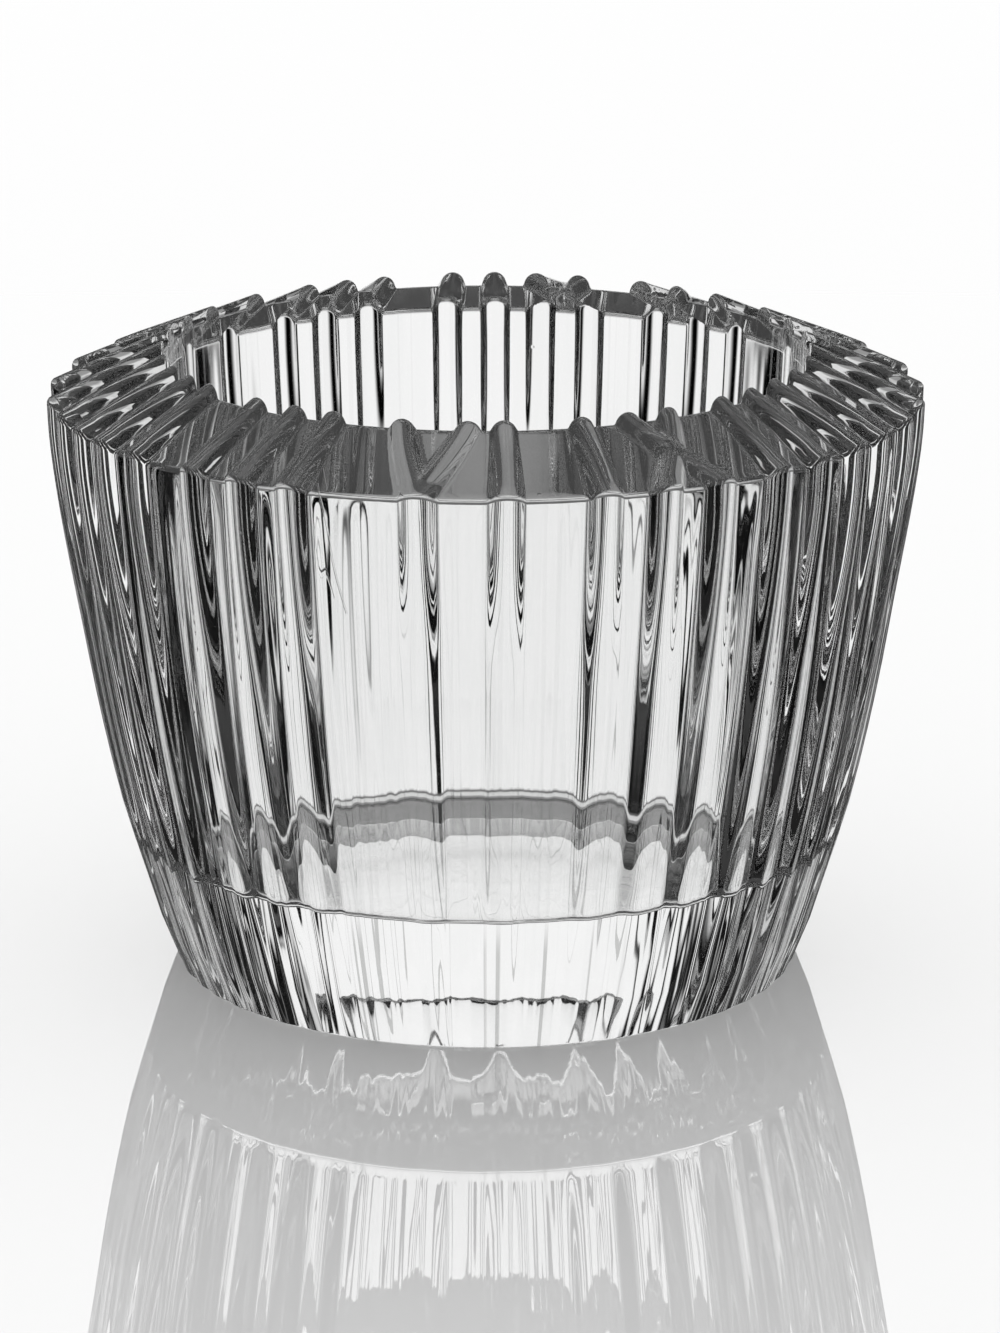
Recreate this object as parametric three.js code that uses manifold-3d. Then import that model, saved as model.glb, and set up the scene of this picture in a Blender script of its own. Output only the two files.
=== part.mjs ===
// Pressed glass votive holder: one heavy cup of clear glass with a bevelled rim and raised, uneven ribs.
// Millimetres, +Z up, the foot on z = 0 and the axis of the cup on the Z axis.

import * as THREE from 'three';
import { mergeVertices } from 'three/addons/utils/BufferGeometryUtils.js';
import Module from 'manifold-3d';

const wasm = await Module();
wasm.setup();

// The cup between its ribs.
const mouthHeight = 65.7;
const mouthRadius = 34;
const bevelDrop = 4.5;
const shoulderRadius = 44.9;
const footRadius = 33;
const footTuck = 0.5;
const footTuckHeight = 8;
const wallBow = 2;
const footRounding = 0.4;
const shoulderRounding = 0.5;
const mouthRounding = 0.3;

// The well that the candle stands in.
const baseThickness = 14.2;
const wellFloorRadius = 31.2;
const wellFillet = 1.2;

// The ribs: how wide and how proud a bead is where it leaves the foot, at the shoulder and at the mouth.
const ribFootWidth = 3.0;
const ribShoulderWidth = 3.6;
const ribMouthWidth = 2.6;
const ribFootRelief = 0.42;
const ribShoulderRelief = 1.13;
const ribMouthRelief = 1.16;
const ribRootDepth = 0.7;
const ribSeat = 0.12;
const ribFootHeight = 0.8;
const ribCrownLength = 5;

// Each rib's place in degrees round the cup, 0 at the front and growing to the right: where it stands on the
// wall, and where it ends on the mouth. Two that share a place meet in a V, and two that swap places cross in an X.
// Its relief is a share of the sizes above, and it fades to its low part over a length below the shoulder.
const ribPlaces = [
  { wall: -8.6, mouth: -14.1, relief: 0.9, fade: 22 },
  { wall: -8.6, mouth: -2.9, relief: 0.9, fade: 25 },
  { wall: 2.7, mouth: 3.1, relief: 0.95, fade: 19 },
  { wall: 15.4, mouth: 16.3, relief: 1, fade: 26 },
  { wall: 23.5, mouth: 32.5, relief: 1.05, fade: 28 },
  { wall: 31.5, mouth: 24.6, relief: 1.05, fade: 25 },
  { wall: 40.8, mouth: 44.2, relief: 1.15, fade: 28 },
  { wall: 48.2, mouth: 52.1, relief: 1.2, fade: 24 },
  { wall: 55.8, mouth: 59.7, relief: 1.25, fade: 27 },
  { wall: 63, mouth: 68, relief: 1.25, fade: 22 },
  { wall: 72.5, mouth: 78.5, relief: 1.3, fade: 26 },
  { wall: 82, mouth: 88, relief: 1.3, fade: 23 },
  { wall: 92, mouth: 98, relief: 1.3, fade: 27 },
  { wall: 103, mouth: 108.5, relief: 1.3, fade: 24 },
  { wall: 117, mouth: 118.5, relief: 1.3, fade: 22 },
  { wall: 134.6, mouth: 132.6, relief: 1.3, fade: 26 },
  { wall: 143.3, mouth: 150.2, relief: 1.3, fade: 24 },
  { wall: 151.8, mouth: 142.1, relief: 1.3, fade: 22 },
  { wall: 163.3, mouth: 170.9, relief: 1.3, fade: 25 },
  { wall: 171.4, mouth: 162.6, relief: 1.3, fade: 22 },
  { wall: 178.7, mouth: 178.6, relief: 1.35, fade: 24 },
  { wall: 186.4, mouth: 186.4, relief: 1.35, fade: 22 },
  { wall: 199.4, mouth: 199.5, relief: 1.25, fade: 20 },
  { wall: 207, mouth: 207, relief: 1.25, fade: 26 },
  { wall: 214.9, mouth: 215, relief: 1.25, fade: 28 },
  { wall: 227.7, mouth: 227.7, relief: 1.3, fade: 27 },
  { wall: 241, mouth: 240.5, relief: 1.3, fade: 24 },
  { wall: 254, mouth: 250, relief: 1.3, fade: 26 },
  { wall: 266, mouth: 260, relief: 1.3, fade: 23 },
  { wall: 277, mouth: 270.5, relief: 1.3, fade: 27 },
  { wall: 286.5, mouth: 280.5, relief: 1.3, fade: 24 },
  { wall: 294, mouth: 289, relief: 1.25, fade: 26 },
  { wall: 301, mouth: 297.1, relief: 1.25, fade: 23 },
  { wall: 308.5, mouth: 304.3, relief: 1.2, fade: 26 },
  { wall: 319.6, mouth: 317.4, relief: 1.15, fade: 24 },
  { wall: 327.1, mouth: 325.9, relief: 1.1, fade: 27 },
  { wall: 334.6, mouth: 333.5, relief: 1.05, fade: 23 },
];

// Facets: round the cup, along the bowed wall, round a corner, and across and along a rib.
const turnFacets = 84;
const bowFacets = 4;
const cornerFacets = 2;
const ribFacets = 4;
const ribBevelStations = 2;

const shoulderHeight = mouthHeight - bevelDrop;
const bevelAngle = Math.atan2(bevelDrop, shoulderRadius - mouthRadius);

// The outer wall is a shallow arc from foot to shoulder that tucks in at the foot.
// The fraction runs from 0 to 1 up it.
function wallPoint(fraction) {
  const straight = THREE.MathUtils.lerp(footRadius + footTuck, shoulderRadius, fraction);
  const bow = 4 * wallBow * fraction * (1 - fraction);
  const low = Math.max(0, 1 - shoulderHeight * fraction / footTuckHeight);
  return new THREE.Vector2(straight + bow - footTuck * low * low, shoulderHeight * fraction);
}

function wallNormal(fraction) {
  const rise = wallPoint(fraction + 0.01).sub(wallPoint(fraction - 0.01)).normalize();
  return new THREE.Vector2(rise.y, -rise.x);
}

// The heights at which the wall has an edge of its bow or its tuck.
function wallHeights() {
  const heights = [footTuckHeight / 2, footTuckHeight];
  for (let step = 1; step < bowFacets; step += 1) {
    heights.push(THREE.MathUtils.lerp(footTuckHeight, shoulderHeight, step / bowFacets));
  }
  return heights;
}

// An outline through corners, where a corner with a rounding is cut back and joined by a curve.
function roundedOutline(corners) {
  const points = [];
  corners.forEach(({ at, rounding = 0 }, index) => {
    if (rounding === 0) {
      points.push(at);
      return;
    }
    const before = corners[index - 1].at;
    const after = corners[index + 1].at;
    const entry = at.clone().add(before.clone().sub(at).setLength(rounding));
    const leave = at.clone().add(after.clone().sub(at).setLength(rounding));
    points.push(...new THREE.QuadraticBezierCurve(entry, at, leave).getPoints(cornerFacets));
  });
  return points;
}

function turned(profile) {
  const geometry = new THREE.LatheGeometry(profile, turnFacets);
  geometry.rotateX(Math.PI / 2);
  return geometry;
}

// The cup's outside as a solid, with no well and no ribs.
function cupBlank() {
  const wall = wallHeights().map((height) => ({ at: wallPoint(height / shoulderHeight) }));
  return turned(roundedOutline([
    { at: new THREE.Vector2(0, 0) },
    { at: new THREE.Vector2(footRadius, 0), rounding: footRounding },
    ...wall,
    { at: new THREE.Vector2(shoulderRadius, shoulderHeight), rounding: shoulderRounding },
    { at: new THREE.Vector2(mouthRadius, mouthHeight) },
    { at: new THREE.Vector2(0, mouthHeight) },
  ]));
}

// The well's wall stands almost upright, with a filleted floor, and it opens out to ease the mouth's edge.
function well() {
  const tallest = Math.max(...ribPlaces.map((place) => place.relief));
  const clear = ribMouthRelief * tallest + 2;
  const bevelSlope = Math.tan(bevelAngle);
  const eased = new THREE.Vector2(mouthRadius + mouthRounding, mouthHeight - mouthRounding * bevelSlope);
  return turned(roundedOutline([
    { at: new THREE.Vector2(0, baseThickness) },
    { at: new THREE.Vector2(wellFloorRadius, baseThickness), rounding: wellFillet },
    { at: new THREE.Vector2(mouthRadius, mouthHeight - mouthRounding) },
    { at: eased },
    { at: new THREE.Vector2(eased.x + clear / 4, eased.y + clear * 2) },
    { at: new THREE.Vector2(0, eased.y + clear * 2) },
  ]));
}

// Where a rib runs: up the wall, over the shoulder and across the bevel to the mouth.
// Each station has its point on the cup, the way out of the glass, its place round the cup and its size.
function ribStations(place) {
  const stations = [];
  const crown = [shoulderHeight - ribCrownLength, shoulderHeight - shoulderRounding * 3];
  for (const height of [ribFootHeight, ...wallHeights(), ...crown]) {
    const fraction = height / shoulderHeight;
    const fade = THREE.MathUtils.smoothstep(height, shoulderHeight - place.fade, shoulderHeight);
    stations.push({
      surface: wallPoint(fraction),
      outward: wallNormal(fraction),
      turn: place.wall,
      width: THREE.MathUtils.lerp(ribFootWidth, ribShoulderWidth, fraction),
      relief: THREE.MathUtils.lerp(ribFootRelief, ribShoulderRelief, fade) * place.relief,
    });
  }
  const bevelNormal = new THREE.Vector2(Math.sin(bevelAngle), Math.cos(bevelAngle));
  const mitre = wallNormal(1).add(bevelNormal).normalize();
  stations.push({
    surface: wallPoint(1),
    outward: mitre,
    turn: place.wall,
    width: ribShoulderWidth,
    relief: ribShoulderRelief * place.relief / mitre.dot(bevelNormal),
  });
  for (let step = 0; step <= ribBevelStations; step += 1) {
    const across = step / ribBevelStations;
    const start = shoulderRadius - shoulderRounding * 3;
    const radius = THREE.MathUtils.lerp(start, mouthRadius - ribMouthWidth, across);
    const inward = (shoulderRadius - radius) / (shoulderRadius - mouthRadius);
    stations.push({
      surface: new THREE.Vector2(radius, shoulderHeight + bevelDrop * inward),
      outward: bevelNormal,
      turn: THREE.MathUtils.lerp(place.wall, place.mouth, inward),
      width: THREE.MathUtils.lerp(ribShoulderWidth, ribMouthWidth, inward),
      relief: THREE.MathUtils.lerp(ribShoulderRelief, ribMouthRelief, inward) * place.relief,
    });
  }
  return stations;
}

// One section of a rib: an arc over the cup's surface, seated just below it and closed by a root.
function ribSection({ surface, outward, turn, width, relief }) {
  const half = width / 2;
  const bend = (half * half + relief * relief) / (2 * relief);
  const spread = Math.acos((bend - relief - ribSeat) / bend);
  const ring = [];
  const place = (sideways, raised) => {
    const radius = surface.x + outward.x * raised;
    const angle = THREE.MathUtils.degToRad(turn) + sideways / surface.x;
    const height = surface.y + outward.y * raised;
    ring.push(new THREE.Vector3(radius * Math.sin(angle), -radius * Math.cos(angle), height));
  };
  place(-bend * Math.sin(spread), -ribRootDepth);
  for (let step = 0; step <= ribFacets; step += 1) {
    const lean = spread * (2 * step / ribFacets - 1);
    place(bend * Math.sin(lean), bend * Math.cos(lean) - bend + relief);
  }
  place(bend * Math.sin(spread), -ribRootDepth);
  return ring;
}

// A closed skin through a row of sections, with a flat end at each side.
function loft(sections) {
  const count = sections[0].length;
  const positions = sections.flat().flatMap((point) => point.toArray());
  const faces = [];
  for (let row = 0; row + 1 < sections.length; row += 1) {
    for (let side = 0; side < count; side += 1) {
      const here = row * count + side;
      const beside = row * count + (side + 1) % count;
      faces.push(here, beside, beside + count);
      faces.push(here, beside + count, here + count);
    }
  }
  const last = (sections.length - 1) * count;
  for (let side = 1; side + 1 < count; side += 1) {
    faces.push(0, side + 1, side);
    faces.push(last, last + side, last + side + 1);
  }
  const geometry = new THREE.BufferGeometry();
  geometry.setAttribute('position', new THREE.Float32BufferAttribute(positions, 3));
  geometry.setIndex(faces);
  return geometry;
}

function toSolid(geometry) {
  geometry.deleteAttribute('normal');
  geometry.deleteAttribute('uv');
  const merged = mergeVertices(geometry, 1e-5);
  return new wasm.Manifold(new wasm.Mesh({
    numProp: 3,
    vertProperties: new Float32Array(merged.attributes.position.array),
    triVerts: new Uint32Array(merged.index.array),
  }));
}

function toGeometry(solid) {
  const mesh = solid.getMesh();
  const geometry = new THREE.BufferGeometry();
  geometry.setAttribute('position', new THREE.Float32BufferAttribute(mesh.vertProperties, 3));
  geometry.setIndex(new THREE.Uint32BufferAttribute(mesh.triVerts, 1));
  geometry.computeVertexNormals();
  return geometry;
}

// The glass as it is pressed: the ribs join the cup before the well is cut, so the mouth trims them flush.
function glassBody() {
  let solid = toSolid(cupBlank());
  for (const place of ribPlaces) {
    solid = solid.add(toSolid(loft(ribStations(place).map(ribSection))));
  }
  return toGeometry(solid.subtract(toSolid(well())));
}

const clearGlass = new THREE.MeshStandardMaterial({
  color: 0xf3f6f5,
  roughness: 0.04,
  metalness: 0,
  transparent: true,
  opacity: 0.45,
});

const holder = new THREE.Group();
holder.name = 'glass_votive_holder';

const glass = new THREE.Mesh(glassBody(), clearGlass);
glass.name = 'glass_body';
holder.add(glass);

export default holder;
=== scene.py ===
"""A heavy pressed-glass votive holder with raised, uneven ribs, standing on a pale glossy table."""

import math

import bmesh
import bpy
import numpy as np
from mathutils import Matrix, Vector


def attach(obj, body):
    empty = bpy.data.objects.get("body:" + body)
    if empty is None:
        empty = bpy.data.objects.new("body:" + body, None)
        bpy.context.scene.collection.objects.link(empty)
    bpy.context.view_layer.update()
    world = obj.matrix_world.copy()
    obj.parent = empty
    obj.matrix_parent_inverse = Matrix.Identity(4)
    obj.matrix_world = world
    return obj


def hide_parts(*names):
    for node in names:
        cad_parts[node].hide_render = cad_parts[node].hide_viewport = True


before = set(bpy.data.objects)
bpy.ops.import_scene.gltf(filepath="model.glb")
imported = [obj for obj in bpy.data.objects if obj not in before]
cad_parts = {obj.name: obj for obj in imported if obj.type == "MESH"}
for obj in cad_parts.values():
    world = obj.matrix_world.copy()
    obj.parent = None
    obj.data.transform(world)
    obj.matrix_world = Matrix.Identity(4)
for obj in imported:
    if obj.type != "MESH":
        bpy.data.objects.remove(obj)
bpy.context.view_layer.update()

MM = 0.001

# The cup between its ribs, in millimetres.
MOUTH_HEIGHT = 65.7
MOUTH_RADIUS = 34.0
BEVEL_DROP = 4.5
SHOULDER_RADIUS = 44.9
SHOULDER_HEIGHT = MOUTH_HEIGHT - BEVEL_DROP
FOOT_RADIUS = 33.0
FOOT_TUCK = 0.5
FOOT_TUCK_HEIGHT = 8.0
WALL_BOW = 2.0
FOOT_ROUNDING = 0.25
SHOULDER_ROUNDING = 0.5
MOUTH_ROUNDING = 0.3

# The well that the candle stands in.
BASE_THICKNESS = 14.2
WELL_FLOOR_RADIUS = 31.2
WELL_FILLET = 1.2

# How wide and how proud a bead is where it leaves the foot, at the shoulder and at the mouth.
RIB_FOOT_WIDTH = 3.0
RIB_SHOULDER_WIDTH = 3.6
RIB_MOUTH_WIDTH = 2.6
RIB_FOOT_RELIEF = 0.3
RIB_LOW_GAIN = 0.35
RIB_SHOULDER_RELIEF = 1.12
RIB_MOUTH_RELIEF = 1.05
RIB_BLEND = 0.45
SLIMMEST_RIB = 0.9

# Near the foot a rib stands out by this share of its low relief, and reaches all of it between two heights.
RIB_FOOT_SHARE = 0.3
RIB_FOOT_EASE = (8.0, 20.0)

# A bold rib is worn down a little where it turns over the shoulder, this far below it and inward of it.
CROWN_CUT = 0.2
CROWN_BELOW = 4.0
CROWN_INWARD = 2.6
UNWORN_RIB = 0.8

# The arc of a bead's section has a radius of at least this many times half its width. At the mouth the ends
# of the beads run out down the well over this depth.
SMALLEST_ARC = 1.02
MOUTH_RUNOUT = 3.0

# Each rib: where it stands on the wall and ends on the mouth, in degrees round the cup from the front,
# its relief as a share of the sizes above, and how far below the shoulder it fades to its low part.
RIBS = [
    (-8.6, -14.1, 0.9, 15),
    (-8.6, -2.9, 0.9, 19),
    (2.7, 3.1, 0.95, 19),
    (15.4, 16.3, 1.0, 20),
    (23.5, 32.5, 1.05, 22),
    (31.5, 24.6, 1.05, 25),
    (40.8, 44.2, 1.15, 28),
    (48.2, 52.1, 1.2, 24),
    (55.8, 59.7, 1.25, 27),
    (63, 68, 1.25, 22),
    (72.5, 78.5, 1.3, 26),
    (82, 88, 1.3, 23),
    (92, 98, 1.3, 27),
    (103, 108.5, 1.3, 24),
    (117, 118.5, 1.3, 22),
    (134.6, 132.6, 1.3, 26),
    (143.3, 150.2, 1.3, 24),
    (151.8, 142.1, 1.3, 22),
    (163.3, 170.9, 1.3, 25),
    (171.4, 162.6, 1.3, 22),
    (178.7, 178.6, 1.35, 24),
    (186.4, 186.4, 1.35, 22),
    (199.4, 199.5, 1.25, 20),
    (207, 207, 1.25, 26),
    (214.9, 215, 1.25, 28),
    (227.7, 227.7, 1.3, 27),
    (241, 240.5, 1.3, 24),
    (254, 250, 1.3, 26),
    (266, 260, 1.3, 23),
    (277, 270.5, 1.3, 27),
    (286.5, 280.5, 1.3, 24),
    (294, 289, 1.25, 26),
    (301, 297.1, 1.25, 23),
    (308.5, 304.3, 1.2, 26),
    (319.6, 317.4, 1.15, 24),
    (327.1, 325.9, 1.1, 27),
    (334.6, 333.5, 1.05, 23),
]

# The mould's ripples: height of the wave, number of waves round the cup, how far each leans on its way up
# the wall, and where it starts. They fade out over a share of the wall at either end.
RIPPLES = [(0.02, 47, 1.3, 0.4), (0.012, 83, -1.8, 2.1), (0.009, 131, 2.6, 4.0), (0.005, 211, -3.4, 1.2)]
RIPPLE_FADE = 0.05

# The finest upright lines: how many, how high, how much is added at the foot, below which heights, and how
# many degrees they lean on their way up.
GRAIN_SEED = 5
GRAIN_COUNT = 480
GRAIN_HEIGHT = 0.002
GRAIN_AT_FOOT = 2.0
GRAIN_EASE = (20.0, 8.0)
GRAIN_LEAN = 1.5

# Grooves beside some ribs: place round the cup, depth and spread. Their bottom is rounded, and they fade out
# over a share of the wall at the foot and at the shoulder.
GROOVES = [
    (-28.3, 0.16, 1.2), (-22.4, 0.16, 1.3), (-5.9, 0.11, 1.5), (5.0, 0.06, 1.0), (12.6, 0.11, 1.5),
    (20.6, 0.15, 1.2), (28.4, 0.15, 1.2), (37.0, 0.16, 1.3), (52.0, 0.14, 1.2), (67.7, 0.14, 1.3),
    (97.5, 0.14, 1.2), (110.0, 0.16, 1.4), (126.0, 0.17, 1.5), (147.5, 0.14, 1.2), (167.4, 0.14, 1.2),
    (182.5, 0.14, 1.2), (193.0, 0.17, 1.4), (203.2, 0.14, 1.2), (221.0, 0.16, 1.4), (234.5, 0.16, 1.3),
    (260.0, 0.15, 1.3), (281.8, 0.14, 1.2), (304.8, 0.14, 1.2), (314.0, 0.15, 1.2),
]
GROOVE_ROUNDING = 0.02
GROOVE_FADE_AT_FOOT = 0.08
GROOVE_FADE_AT_SHOULDER = 0.15

# The turned mesh: steps of the outline, and wedges of a few steps each, all the way round. Its columns
# follow the lean of the ribs by a share, and knots of that lean keep this many degrees apart.
WALL_STEPS = 19
WALL_CROWDING = 1.5
BEVEL_STEPS = 15
WELL_STEPS = (0.01, 0.025, 0.045, 0.1, 0.4, 0.7)
TURN_WEDGES = 40
WEDGE_STEPS = 36
MERGE_DISTANCE = 0.001
COLUMN_FOLLOW = 0.85
KNOT_SPACING = 3.0

# The glass: bare, in a cord of denser glass and in a hair line.
GLASS_IOR = 1.54
CLEAR_TINT = (0.992, 0.993, 0.992, 1)
CORD_TINT = (0.95, 0.955, 0.953, 1)
HAIR_TINT = (0.4, 0.405, 0.4, 1)
CORD_WIDTH = 2.6
CORD_STRETCH = 0.06
CORD_EDGE = (0.42, 0.72)
SKIN_SIZE = 6.0
SKIN_SPREAD = (0.3, 0.7)
SKIN_ROUGHNESS = (0.012, 0.028)
SEED_SPACING = 9.0
SEED_EDGE = (0.012, 0.03)

# The hair lines run upright, below the well's floor above all. Their pattern lies on a circle of 1 m, and
# this is its size there.
HAIR_SIZE = 22.0
HAIR_EDGE = (0.64, 0.70)
HAIR_HEIGHTS = (11.0, 16.0)
HAIR_ABOVE = 0.12

# The flow line left of the V: where it starts, how far it runs down, its lean, and its sway to the sides.
FLOW_PLACE = -16.6
FLOW_ABOVE_SHOULDER = 0.6
FLOW_LENGTH = 13
FLOW_LEAN = 0.21
FLOW_SWAY = 0.12
FLOW_TURNS = 0.55
FLOW_EDGE = (0.04, 0.11)

# Heights of the relief in the skin.
FINE_HEIGHT = 0.001
FINE_WIDTH = 1.1
SKIN_HEIGHT = 0.004
FLOW_DEPTH = -0.03
SEED_HEIGHT = 0.012

# The table. Seen straight it is a matt white with a mirror's gloss that grows towards the slant.
TABLE_GAP = 0.03
TABLE_HALF_SIZE = 6000.0
TABLE_WHITE = (0.95, 0.95, 0.95, 1)
GLOSS_POWER = 2.6
GLOSS_GAIN = 1.38

# What the view through the glass finds on the table, painted light and shade that only this view sees: how
# bright it is there, from how far off the axis, and by the slant, which is 0 straight down and 1 along the
# table.
MIRROR_SLANT = (0.75, 0.865)
PAINTED_TABLE_SHADE = 0.06
OPEN_STARTS = (37.3, 38.5)
OPEN_LEVEL = 0.72
FAR_STARTS = (72.0, 88.0)
FAR_LOSS = 0.85
FAR_SLANT = (0.55, 0.68)
DARK_SLANT = 0.16
DARK_SLANT_EDGE = (0.1, 0.16)
DIM_SLANT = 0.38
DIM_SLANT_EDGE = (0.06, 0.12)
DIM_LEVEL = 0.35

# The same painted light and shade below the foot: a painted shadow, and over it a painted pool of light in
# the middle for a view along the table, one level for a view from above and a lower one for a steep view,
# with more again straight down.
PAINTED_FOOT_SHADOW = 0.05
LIT_RADIUS = 24.7
PAINTED_POOL_LEVEL = 0.92
LIT_SLANT = (0.55, 0.75)
ABOVE_LEVEL = 0.8
STEEP_LEVEL = 0.27
STEEP_SLANT = (0.22, 0.33)
DOWN_GAIN = 0.53
DOWN_SLANT = (0.008, 0.02)

# The ring of painted dark cards round the table, its painted bright gaps in degrees, what is left of them
# for a ray that comes off a surface, and the ceiling above it by the sine of its height.
RING_RADIUS = 190.0
RING_HEIGHT = 170.0
RING_OVERLAP = 2.0
RING_SIDES = 96
REAR_GAP = (16.5, 23.5)
QUARTER_GAP = (4.0, 20.0)
HALFWAY_GAP = (2.0, 16.0)
GAP_LEVEL = 0.95
GAP_AFTER_BOUNCE = 0.012
CEILING_STARTS = (0.88, 0.93)
CEILING_SHADE = 0.01
CEILING_LEVEL = 0.45

# The camera, with its focal length in pixels of the frame's height.
FRAME_HEIGHT = 1333
SENSOR_WIDTH = 36.0
FOCAL_LENGTH = 5836.5
CAMERA_PLACE = (1.45, -600.0, 203.3)
CAMERA_TILT = 0.279


class Value:
    """A number that a node gives, with the signs that add Math nodes."""

    def __init__(self, shader, socket):
        self.shader = shader
        self.socket = socket

    def math(self, operation, *others):
        """One Math node on this number and the others."""
        return self.shader.node("ShaderNodeMath", {"operation": operation}, [self, *others])

    def __add__(self, other):
        return self.math("ADD", other)

    def __sub__(self, other):
        return self.math("SUBTRACT", other)

    def __rsub__(self, other):
        return self.shader.node("ShaderNodeMath", {"operation": "SUBTRACT"}, [other, self])

    def __mul__(self, other):
        return self.math("MULTIPLY", other)

    def __truediv__(self, other):
        return self.math("DIVIDE", other)

    def __gt__(self, other):
        return self.math("GREATER_THAN", other)

    def __lt__(self, other):
        return self.math("LESS_THAN", other)

    def __abs__(self):
        return self.math("ABSOLUTE")

    __radd__ = __add__
    __rmul__ = __mul__


class Shader:
    """The node tree of a material or a world."""

    def __init__(self, owner):
        owner.use_nodes = True
        self.tree = owner.node_tree
        self.tree.nodes.clear()

    def node(self, kind, settings=None, inputs=None, output=0):
        """Adds a node: its settings first, then its sockets, by name or in order, as values or as links."""
        node = self.tree.nodes.new(kind)
        for name, value in (settings or {}).items():
            setattr(node, name, value)
        pairs = inputs.items() if isinstance(inputs, dict) else enumerate(inputs or [])
        for key, value in pairs:
            if isinstance(value, Value):
                self.tree.links.new(value.socket, node.inputs[key])
            else:
                node.inputs[key].default_value = value
        return Value(self, node.outputs[output]) if node.outputs else node

    def ramp(self, value, low, high, start, end):
        """A soft step from one level to another."""
        return self.node("ShaderNodeMapRange", {"interpolation_type": "SMOOTHSTEP"}, {
            "Value": value, "From Min": low, "From Max": high, "To Min": start, "To Max": end})

    def out(self, kind, surface):
        """Ends the tree with its surface."""
        self.node(kind, inputs={"Surface": surface})


def wall_point(fraction):
    """Radius and height of the bare wall, from 0 at the foot to 1 at the shoulder."""
    start = FOOT_RADIUS + FOOT_TUCK
    radius = start + (SHOULDER_RADIUS - start) * fraction + 4 * WALL_BOW * fraction * (1 - fraction)
    low = max(0, 1 - SHOULDER_HEIGHT * fraction / FOOT_TUCK_HEIGHT)
    return Vector((radius - FOOT_TUCK * low * low, SHOULDER_HEIGHT * fraction))


def corner(before, at, after, rounding, steps):
    """Points of a curve that rounds a corner."""
    before, at, after = Vector(before), Vector(at), Vector(after)
    entry = at + (before - at).normalized() * rounding
    leave = at + (after - at).normalized() * rounding
    points = []
    for step in range(steps + 1):
        t = step / steps
        points.append(entry * (1 - t) ** 2 + at * 2 * t * (1 - t) + leave * t * t)
    return points


def between(start, end, steps):
    """Evenly spaced points between two places, without the ends."""
    return [start.lerp(end, step / steps) for step in range(1, steps)]


def cup_outline():
    """The cup's section from the middle of the foot, out and up the wall, over the bevel and down the well:
    each point with the name of the part of the cup that it is on."""
    shoulder = Vector((SHOULDER_RADIUS, SHOULDER_HEIGHT))
    mouth = Vector((MOUTH_RADIUS, MOUTH_HEIGHT))
    floor_edge = Vector((WELL_FLOOR_RADIUS, BASE_THICKNESS))
    low = FOOT_ROUNDING / SHOULDER_HEIGHT
    high = 1 - SHOULDER_ROUNDING / SHOULDER_HEIGHT
    foot_edge = corner((0, 0), (FOOT_RADIUS, 0), wall_point(low), FOOT_ROUNDING, 4)
    rises = [1 - (1 - step / WALL_STEPS) ** WALL_CROWDING for step in range(1, WALL_STEPS)]
    wall = [wall_point(low + (high - low) * rise) for rise in rises]
    shoulder_edge = corner(wall_point(2 * high - 1), shoulder, mouth, SHOULDER_ROUNDING, 6)
    mouth_edge = corner(shoulder, mouth, floor_edge, MOUTH_ROUNDING, 5)
    bevel = between(shoulder_edge[-1], mouth_edge[0], BEVEL_STEPS)
    fillet = corner(mouth, floor_edge, (0, BASE_THICKNESS), WELL_FILLET, 9)
    well = [mouth_edge[-1].lerp(fillet[0], share) for share in WELL_STEPS]
    parts = {
        "foot": [Vector((0, 0)), Vector((FOOT_RADIUS * 0.5, 0))],
        "foot_edge": foot_edge,
        "wall": wall,
        "shoulder": shoulder_edge,
        "bevel": bevel,
        "mouth": mouth_edge,
        "well": well,
        "floor": fillet + [Vector((WELL_FLOOR_RADIUS * 0.5, BASE_THICKNESS)), Vector((0, BASE_THICKNESS))],
    }
    return [(point, part) for part, points in parts.items() for point in points]


def linked(name, bm):
    """An object in the scene with that mesh."""
    mesh = bpy.data.meshes.new(name)
    bm.to_mesh(mesh)
    bm.free()
    obj = bpy.data.objects.new(name, mesh)
    bpy.context.scene.collection.objects.link(obj)
    return obj


def spun_cup(name, stations):
    """The outline spun round the axis, with each vertex keeping the number of its station."""
    bm = bmesh.new()
    layer = bm.verts.layers.int.new("station")
    verts = []
    for number, (point, _) in enumerate(stations):
        vert = bm.verts.new((0, -point.x * MM, point.y * MM))
        vert[layer] = number
        verts.append(vert)
    edges = [bm.edges.new(pair) for pair in zip(verts, verts[1:])]
    wedge = math.tau / TURN_WEDGES
    bmesh.ops.spin(
        bm, geom=verts + edges, cent=(0, 0, 0), axis=(0, 0, 1),
        angle=wedge, steps=WEDGE_STEPS, use_duplicate=False
    )
    bmesh.ops.spin(
        bm, geom=bm.verts[:] + bm.edges[:] + bm.faces[:], cent=(0, 0, 0), axis=(0, 0, 1),
        angle=math.tau - wedge, steps=TURN_WEDGES - 1, use_duplicate=True
    )
    bmesh.ops.remove_doubles(bm, verts=bm.verts[:], dist=MERGE_DISTANCE * MM)
    bmesh.ops.recalc_face_normals(bm, faces=bm.faces[:])
    for face in bm.faces:
        face.smooth = True
    return linked(name, bm)


def smoothstep(low, high, x):
    """From 0 to 1 between two places, with soft ends."""
    t = np.clip((x - low) / (high - low), 0, 1)
    return t * t * (3 - 2 * t)


def smooth_max(a, b, blend):
    """The larger of two numbers, with the crease between them rounded."""
    h = np.clip(0.5 + 0.5 * (a - b) / blend, 0, 1)
    return b + (a - b) * h + blend * h * (1 - h)


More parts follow.
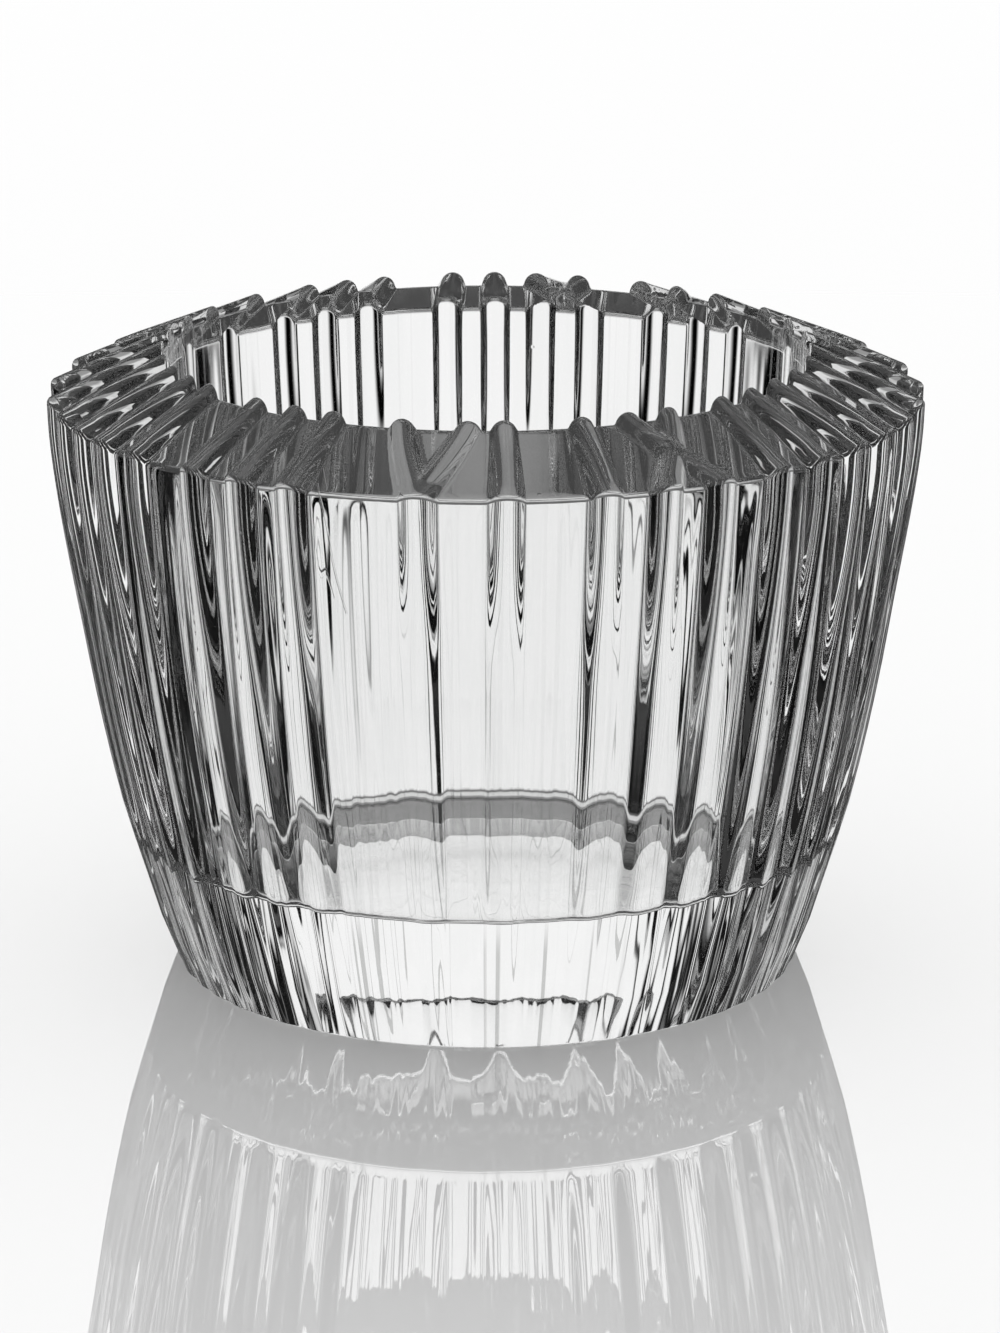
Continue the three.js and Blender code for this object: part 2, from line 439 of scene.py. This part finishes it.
def outward(points, parts):
    """For each point of the outline, the way out of the glass. The shoulder's points share one way, so that
    a rib turns over it with the same small rounding as the cup between the ribs."""
    run = np.gradient(points, axis=0)
    run /= np.linalg.norm(run, axis=1)[:, None]
    ways = np.stack([run[:, 1], -run[:, 0]], axis=1)
    shoulder = parts == "shoulder"
    first = np.argmax(shoulder)
    mitre = ways[first - 1] + ways[first + shoulder.sum()]
    mitre /= np.linalg.norm(mitre)
    ways[shoulder] = mitre / (mitre @ ways[first - 1])
    return ways


def rib_sizes(height, across, share, fade):
    """A bead's width and relief at a height on the wall, or at a share of the way across the bevel."""
    rise = np.clip(height / SHOULDER_HEIGHT, 0, 1)
    width = RIB_FOOT_WIDTH + (RIB_SHOULDER_WIDTH - RIB_FOOT_WIDTH) * rise
    width = width + (RIB_MOUTH_WIDTH - RIB_SHOULDER_WIDTH) * across
    crown = smoothstep(SHOULDER_HEIGHT - fade, SHOULDER_HEIGHT, height)
    low = RIB_FOOT_RELIEF + RIB_LOW_GAIN * (share - SLIMMEST_RIB)
    relief = low + (RIB_SHOULDER_RELIEF - low) * crown
    relief = relief + (RIB_MOUTH_RELIEF - RIB_SHOULDER_RELIEF) * across
    return width, relief * share


def turn_warp(turn, across):
    """Turns the cup's columns so that they run along the ribs."""
    knots = []
    for wall, mouth in sorted((rib[:2] for rib in RIBS), key=sum):
        middle = (wall + mouth) / 2
        if knots and middle - knots[-1][0] < KNOT_SPACING:
            last = knots[-1]
            knots[-1] = ((last[0] + middle) / 2, (last[1] + wall) / 2, (last[2] + mouth) / 2)
        else:
            knots.append((middle, wall, mouth))
    middles, walls, mouths = np.array(knots).T
    all_round = np.concatenate([middles - 360, middles, middles + 360])
    wall_shift = np.interp(turn, all_round, np.tile(walls - middles, 3))
    mouth_shift = np.interp(turn, all_round, np.tile(mouths - middles, 3))
    return turn + COLUMN_FOLLOW * (wall_shift + (mouth_shift - wall_shift) * across)


def rib_relief(turn, across, radius, height):
    """How far the ribs stand out of the bare cup at each point."""
    raised = np.zeros_like(turn)
    below = np.clip(1 - (SHOULDER_HEIGHT - height) / CROWN_BELOW, 0, 1)
    inward = np.clip(1 - (SHOULDER_RADIUS - radius) / CROWN_INWARD, 0, 1)
    crown = np.where(across > 0, inward, below) ** 2
    for wall, mouth, share, fade in RIBS:
        centre = wall + (mouth - wall) * across
        offset = np.abs(np.radians((turn - centre + 180) % 360 - 180) * radius)
        near = offset < RIB_SHOULDER_WIDTH
        width, relief = rib_sizes(height[near], across[near], share, fade)
        edge = width / 2
        round_of = np.maximum((edge * edge + relief * relief) / (2 * relief), edge * SMALLEST_ARC)
        inside = np.minimum(offset[near], edge)
        bead = np.sqrt(round_of ** 2 - inside ** 2) - round_of + relief
        worn = CROWN_CUT * (share - UNWORN_RIB) * crown[near] * np.clip(bead / relief, 0, 1)
        bead = np.maximum(bead - worn, 0)
        skirt = (offset[near] - inside) * edge / np.sqrt(round_of ** 2 - edge ** 2)
        raised[near] = smooth_max(bead - skirt, raised[near], RIB_BLEND)
    return raised


def mould_ripple(turn, height):
    """The faint upright waves that the mould leaves on the wall."""
    rise = height / SHOULDER_HEIGHT
    waves = sum(
        size * np.sin(np.radians(turn * count) + lean * rise + start)
        for size, count, lean, start in RIPPLES
    )
    grain = np.random.default_rng(GRAIN_SEED).normal(size=GRAIN_COUNT)
    grain[-1] = grain[0]
    places = np.linspace(-180, 180, GRAIN_COUNT)
    depth = GRAIN_HEIGHT * (1 + GRAIN_AT_FOOT * smoothstep(*GRAIN_EASE, height))
    waves += depth * np.interp((turn + GRAIN_LEAN * rise + 180) % 360 - 180, places, grain)
    return waves * smoothstep(0, RIPPLE_FADE, rise) * smoothstep(1, 1 - RIPPLE_FADE, rise)


def wall_grooves(turn, height):
    """The shallow grooves beside some ribs, where the wall bulges a little between them."""
    sunk = np.zeros_like(turn)
    for place, depth, spread in GROOVES:
        offset = np.radians((turn - place + 180) % 360 - 180) * SHOULDER_RADIUS
        sunk += depth * np.exp(-np.sqrt(offset ** 2 + GROOVE_ROUNDING) / spread)
    rise = height / SHOULDER_HEIGHT
    sunk *= smoothstep(0, GROOVE_FADE_AT_FOOT, rise)
    return sunk * smoothstep(1, 1 - GROOVE_FADE_AT_SHOULDER, rise)


def glass_cup():
    """The cup in one piece of glass, with its ribs raised from the turned form."""
    stations = cup_outline()
    obj = spun_cup("glass_cup", stations)
    mesh = obj.data
    count = len(mesh.vertices)
    places = np.zeros(count * 3)
    mesh.vertices.foreach_get("co", places)
    places = places.reshape(-1, 3) / MM
    number = np.zeros(count, np.int32)
    mesh.attributes["station"].data.foreach_get("value", number)
    mesh.attributes.remove(mesh.attributes["station"])
    points = np.array([point for point, _ in stations], float)
    parts = np.array([part for _, part in stations])
    part = parts[number]
    normal = outward(points, parts)[number]
    radius, height = points[number].T
    on_wall = np.isin(part, ["foot", "foot_edge", "wall"])
    across = np.clip((SHOULDER_RADIUS - radius) / (SHOULDER_RADIUS - MOUTH_RADIUS), 0, 1)
    across = np.where(on_wall, 0, across)
    across = np.where(np.isin(part, ["well", "floor"]), 1, across)
    turn = turn_warp(np.degrees(np.arctan2(places[:, 0], -places[:, 1])), across)
    raised = rib_relief(turn, across, np.maximum(radius, 1), height)
    low_share = RIB_FOOT_SHARE + (1 - RIB_FOOT_SHARE) * smoothstep(*RIB_FOOT_EASE, height)
    raised = np.where(on_wall, raised * low_share, raised)
    raised += np.where(on_wall, mould_ripple(turn, height) - wall_grooves(turn, height), 0)
    outside = np.isin(part, ["wall", "shoulder", "bevel"])
    radius = radius + np.where(outside | (part == "foot_edge"), raised * normal[:, 0], 0)
    lift = raised / math.cos(math.atan2(BEVEL_DROP, SHOULDER_RADIUS - MOUTH_RADIUS))
    down_well = np.clip((MOUTH_HEIGHT - height) / MOUTH_RUNOUT, 0, 1)
    height = height + np.where(outside, raised * normal[:, 1], 0)
    height = height + np.where(part == "mouth", lift, 0)
    height = height + np.where(part == "well", lift * (1 - down_well), 0)
    angle = np.radians(turn)
    places = np.stack([radius * np.sin(angle), -radius * np.cos(angle), height], axis=1) * MM
    mesh.vertices.foreach_set("co", places.ravel())
    mesh.update()
    return obj


def clear_glass():
    """Clear pressed glass: faint upright cords of denser glass, hair lines in the base, a mould skin that
    isn't quite even, a few seeds and one flow line beside the front ribs."""
    material = bpy.data.materials.new("clear_glass")
    shader = Shader(material)
    place = shader.node("ShaderNodeTexCoord", output="Object")
    upright = shader.node("ShaderNodeMapping", inputs={"Vector": place, "Scale": (1, 1, CORD_STRETCH)})

    def noise(where, size, detail=2.0):
        return shader.node("ShaderNodeTexNoise", inputs={
            "Vector": where, "Scale": 1 / (size * MM), "Detail": detail})

    def mixed(share, first, second):
        return shader.node("ShaderNodeMix", {"data_type": "RGBA"}, {
            0: share, 6: first, 7: second}, output=2)

    cords = shader.ramp(noise(upright, CORD_WIDTH, 3.0), *CORD_EDGE, 0.0, 1.0)
    x, y, z = [
        shader.node("ShaderNodeSeparateXYZ", inputs={0: place}, output=axis) / MM
        for axis in range(3)
    ]
    flat = shader.node("ShaderNodeMapping", inputs={"Vector": place, "Scale": (1, 1, 0)})
    round_about = shader.node("ShaderNodeVectorMath", {"operation": "NORMALIZE"}, [flat])
    hairs = shader.ramp(noise(round_about, HAIR_SIZE, 1.0), *HAIR_EDGE, 0.0, 1.0)
    hairs = hairs * shader.ramp(z, *HAIR_HEIGHTS, 1.0, HAIR_ABOVE)
    skin = noise(place, SKIN_SIZE)
    seeds = shader.node("ShaderNodeTexVoronoi", inputs={
        "Vector": place, "Scale": 1 / (SEED_SPACING * MM), "Randomness": 1.0})
    seed = shader.ramp(seeds, *SEED_EDGE, 1.0, 0.0)
    drop = SHOULDER_HEIGHT + FLOW_ABOVE_SHOULDER - z
    sway = (drop * FLOW_TURNS).math("SINE") * FLOW_SWAY
    line = abs(x - FLOW_PLACE - drop * FLOW_LEAN - sway)
    flow = shader.ramp(line, *FLOW_EDGE, 1.0, 0.0) * (y < 0) * (drop > 0) * (drop < FLOW_LENGTH)
    fine = noise(upright, FINE_WIDTH) * FINE_HEIGHT
    relief = fine + skin * SKIN_HEIGHT + flow * FLOW_DEPTH + seed * SEED_HEIGHT
    bump = shader.node("ShaderNodeBump", inputs={"Height": relief * MM, "Distance": 1.0, "Strength": 1.0})
    body = shader.node("ShaderNodeBsdfPrincipled", inputs={
        "Base Color": mixed(hairs, mixed(cords, CLEAR_TINT, CORD_TINT), HAIR_TINT),
        "Roughness": shader.ramp(skin, *SKIN_SPREAD, *SKIN_ROUGHNESS),
        "IOR": GLASS_IOR,
        "Normal": bump,
        "Transmission Weight": 1.0,
    })
    shader.out("ShaderNodeOutputMaterial", body)
    return material


def met_glass(shader):
    """1 for a ray that has gone through the glass or off it on its way from the eye, and 0 for any other.
    The table is a perfect mirror and the glass isn't quite, so a mirror ray that isn't singular comes off
    the glass."""
    path = {name: shader.node("ShaderNodeLightPath", output=name) for name in (
        "Transmission Depth", "Glossy Depth", "Is Reflection Ray", "Is Singular Ray", "Diffuse Depth")}
    through = (path["Transmission Depth"] > 0.5) + (path["Glossy Depth"] > 1.5)
    off = path["Is Reflection Ray"] * (1 - path["Is Singular Ray"])
    return ((through + off) > 0.5) * (path["Diffuse Depth"] < 0.5)


def bounced(shader):
    """1 for a ray that has come off a surface on its way, and 0 for one that has only gone through."""
    return shader.node("ShaderNodeLightPath", output="Glossy Depth") > 0.5


def stage_piece(name, bm, material):
    """A piece of the studio from its mesh."""
    obj = linked(name, bm)
    obj.data.materials.append(material)


def table():
    """The pale glossy table, with painted light and shade on it that only the view through the glass finds.
    """
    bm = bmesh.new()
    bmesh.ops.create_grid(bm, x_segments=1, y_segments=1, size=TABLE_HALF_SIZE * MM)
    bmesh.ops.translate(bm, verts=bm.verts[:], vec=(0, 0, -TABLE_GAP * MM))
    material = bpy.data.materials.new("table_gloss_and_painted_light")
    shader = Shader(material)
    place = shader.node("ShaderNodeTexCoord", output="Object")
    reach = shader.node("ShaderNodeVectorMath", {"operation": "LENGTH"}, [place], output=1) / MM
    facing = shader.node("ShaderNodeLayerWeight", inputs={"Blend": 0.5}, output="Facing")
    met = met_glass(shader)
    gloss = (1 - met) * facing.math("POWER", GLOSS_POWER) * GLOSS_GAIN
    share = met * shader.ramp(facing, *MIRROR_SLANT, 0.0, 1.0) + gloss
    under = reach < FOOT_RADIUS
    open_table = shader.ramp(reach, *OPEN_STARTS, 0.0, OPEN_LEVEL)
    far_off = shader.ramp(reach, *FAR_STARTS, 0.0, FAR_LOSS) * shader.ramp(facing, *FAR_SLANT, 0.0, 1.0)
    by_slant = shader.ramp(abs(facing - DARK_SLANT), *DARK_SLANT_EDGE, 0.0, 1.0)
    by_slant = by_slant * shader.ramp(abs(facing - DIM_SLANT), *DIM_SLANT_EDGE, DIM_LEVEL, 1.0)
    # Painted shade round the foot and painted light on the open table beyond it, dimmer far off and at some
    # slants.
    painted_open_light = PAINTED_TABLE_SHADE + (1 - bounced(shader)) * open_table * (1 - far_off) * by_slant
    grazing = shader.ramp(facing, *LIT_SLANT, 0.0, 1.0)
    above = shader.ramp(facing, *STEEP_SLANT, STEEP_LEVEL, ABOVE_LEVEL)
    above = above + shader.ramp(facing, *DOWN_SLANT, DOWN_GAIN, 0.0)
    # A painted pool of light under the middle of the foot, for a view along the table.
    painted_pool = (reach < LIT_RADIUS) * grazing * PAINTED_POOL_LEVEL
    painted_foot_light = above * (1 - grazing) + PAINTED_FOOT_SHADOW + painted_pool
    level = under * painted_foot_light + (1 - under) * painted_open_light
    # Painted light and shade: the table shines with these levels for rays that met the glass; the view
    # straight at it sees the matt white and the mirror.
    painted_glow = shader.node("ShaderNodeEmission", inputs={"Color": level})
    matt = shader.node("ShaderNodeBsdfDiffuse", inputs={"Color": TABLE_WHITE})
    mirror = shader.node("ShaderNodeBsdfGlossy", inputs={"Color": (1, 1, 1, 1), "Roughness": 0.0})
    base = shader.node("ShaderNodeMixShader", inputs={0: met, 1: matt, 2: painted_glow})
    top = shader.node("ShaderNodeMixShader", inputs={0: share * (1 - under * met), 1: base, 2: mirror})
    shader.out("ShaderNodeOutputMaterial", top)
    stage_piece("table", bm, material)


def painted_card_ring():
    """Painted dark cards round the table with painted bright gaps between them: a wide one at the back, and
    narrower ones at the quarters and halfway between. Only the view through the glass meets them."""
    bm = bmesh.new()
    bmesh.ops.create_cone(
        bm, cap_ends=False, segments=RING_SIDES, radius1=RING_RADIUS * MM, radius2=RING_RADIUS * MM,
        depth=(RING_HEIGHT + RING_OVERLAP) * MM
    )
    bmesh.ops.translate(bm, verts=bm.verts[:], vec=(0, 0, RING_HEIGHT * MM / 2))
    material = bpy.data.materials.new("cards")
    shader = Shader(material)
    place = shader.node("ShaderNodeTexCoord", output="Object")
    x, y = [shader.node("ShaderNodeSeparateXYZ", inputs={0: place}, output=axis) for axis in (0, 1)]
    turn = shader.node("ShaderNodeMath", {"operation": "ARCTAN2"}, [x, y]) * math.degrees(1)
    quarter = abs(((turn + 405) / 90).math("FRACT") - 0.5) * 90
    halfway = 45 - quarter
    rear = shader.ramp(abs(turn), *REAR_GAP, 1.0, 0.0)
    gaps = shader.ramp(quarter, *QUARTER_GAP, GAP_LEVEL, 0.0)
    gaps = gaps + shader.ramp(halfway, *HALFWAY_GAP, GAP_LEVEL, 0.0)
    # Painted light in the gaps, nearly gone for a ray that comes off a surface, and painted dark on the
    # cards.
    level = rear + (1 - rear) * gaps * (1 - bounced(shader) * (1 - GAP_AFTER_BOUNCE))
    painted_glow = shader.node("ShaderNodeEmission", inputs={"Color": level})
    clear = shader.node("ShaderNodeBsdfTransparent")
    # Seen only through the glass and clear to every other ray, so the painted cards and gaps light nothing.
    seen = shader.node("ShaderNodeMixShader", inputs={0: met_glass(shader), 1: clear, 2: painted_glow})
    shader.out("ShaderNodeOutputMaterial", seen)
    material.cycles.emission_sampling = "NONE"
    stage_piece("painted_card_ring", bm, material)


def studio_world():
    """Plain white all round, painted dark only above the cards for the view through the glass."""
    world = bpy.data.worlds.new("studio")
    bpy.context.scene.world = world
    shader = Shader(world)
    way = shader.node("ShaderNodeTexCoord", output="Generated")
    height = shader.node("ShaderNodeSeparateXYZ", inputs={0: way}, output=2)
    ceiling = shader.ramp(height, *CEILING_STARTS, CEILING_SHADE, CEILING_LEVEL)
    met = met_glass(shader)
    # For rays that met the glass the sky is painted dark, with a dimmer painted light straight overhead; for
    # every other ray it is plain white.
    sky = (1 - met) + met * ceiling
    shader.out("ShaderNodeOutputWorld", shader.node("ShaderNodeBackground", inputs={"Color": sky}))


def camera():
    """The camera, in front of the cup and a little above it."""
    data = bpy.data.cameras.new("camera")
    cam = bpy.data.objects.new("camera", data)
    bpy.context.scene.collection.objects.link(cam)
    data.sensor_width = SENSOR_WIDTH
    data.lens = FOCAL_LENGTH * SENSOR_WIDTH / FRAME_HEIGHT
    cam.location = Vector(CAMERA_PLACE) * MM
    cam.rotation_euler = (math.pi / 2 - CAMERA_TILT, 0, 0)
    bpy.context.scene.camera = cam


camera()
cup = glass_cup()
cup.data.materials.append(clear_glass())
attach(cup, "root")
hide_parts("glass_body")
table()
painted_card_ring()
studio_world()

settings = bpy.context.scene
settings.view_settings.view_transform = "Standard"
settings.cycles.max_bounces = 24
settings.cycles.transmission_bounces = 24
settings.cycles.glossy_bounces = 16
settings.cycles.diffuse_bounces = 3
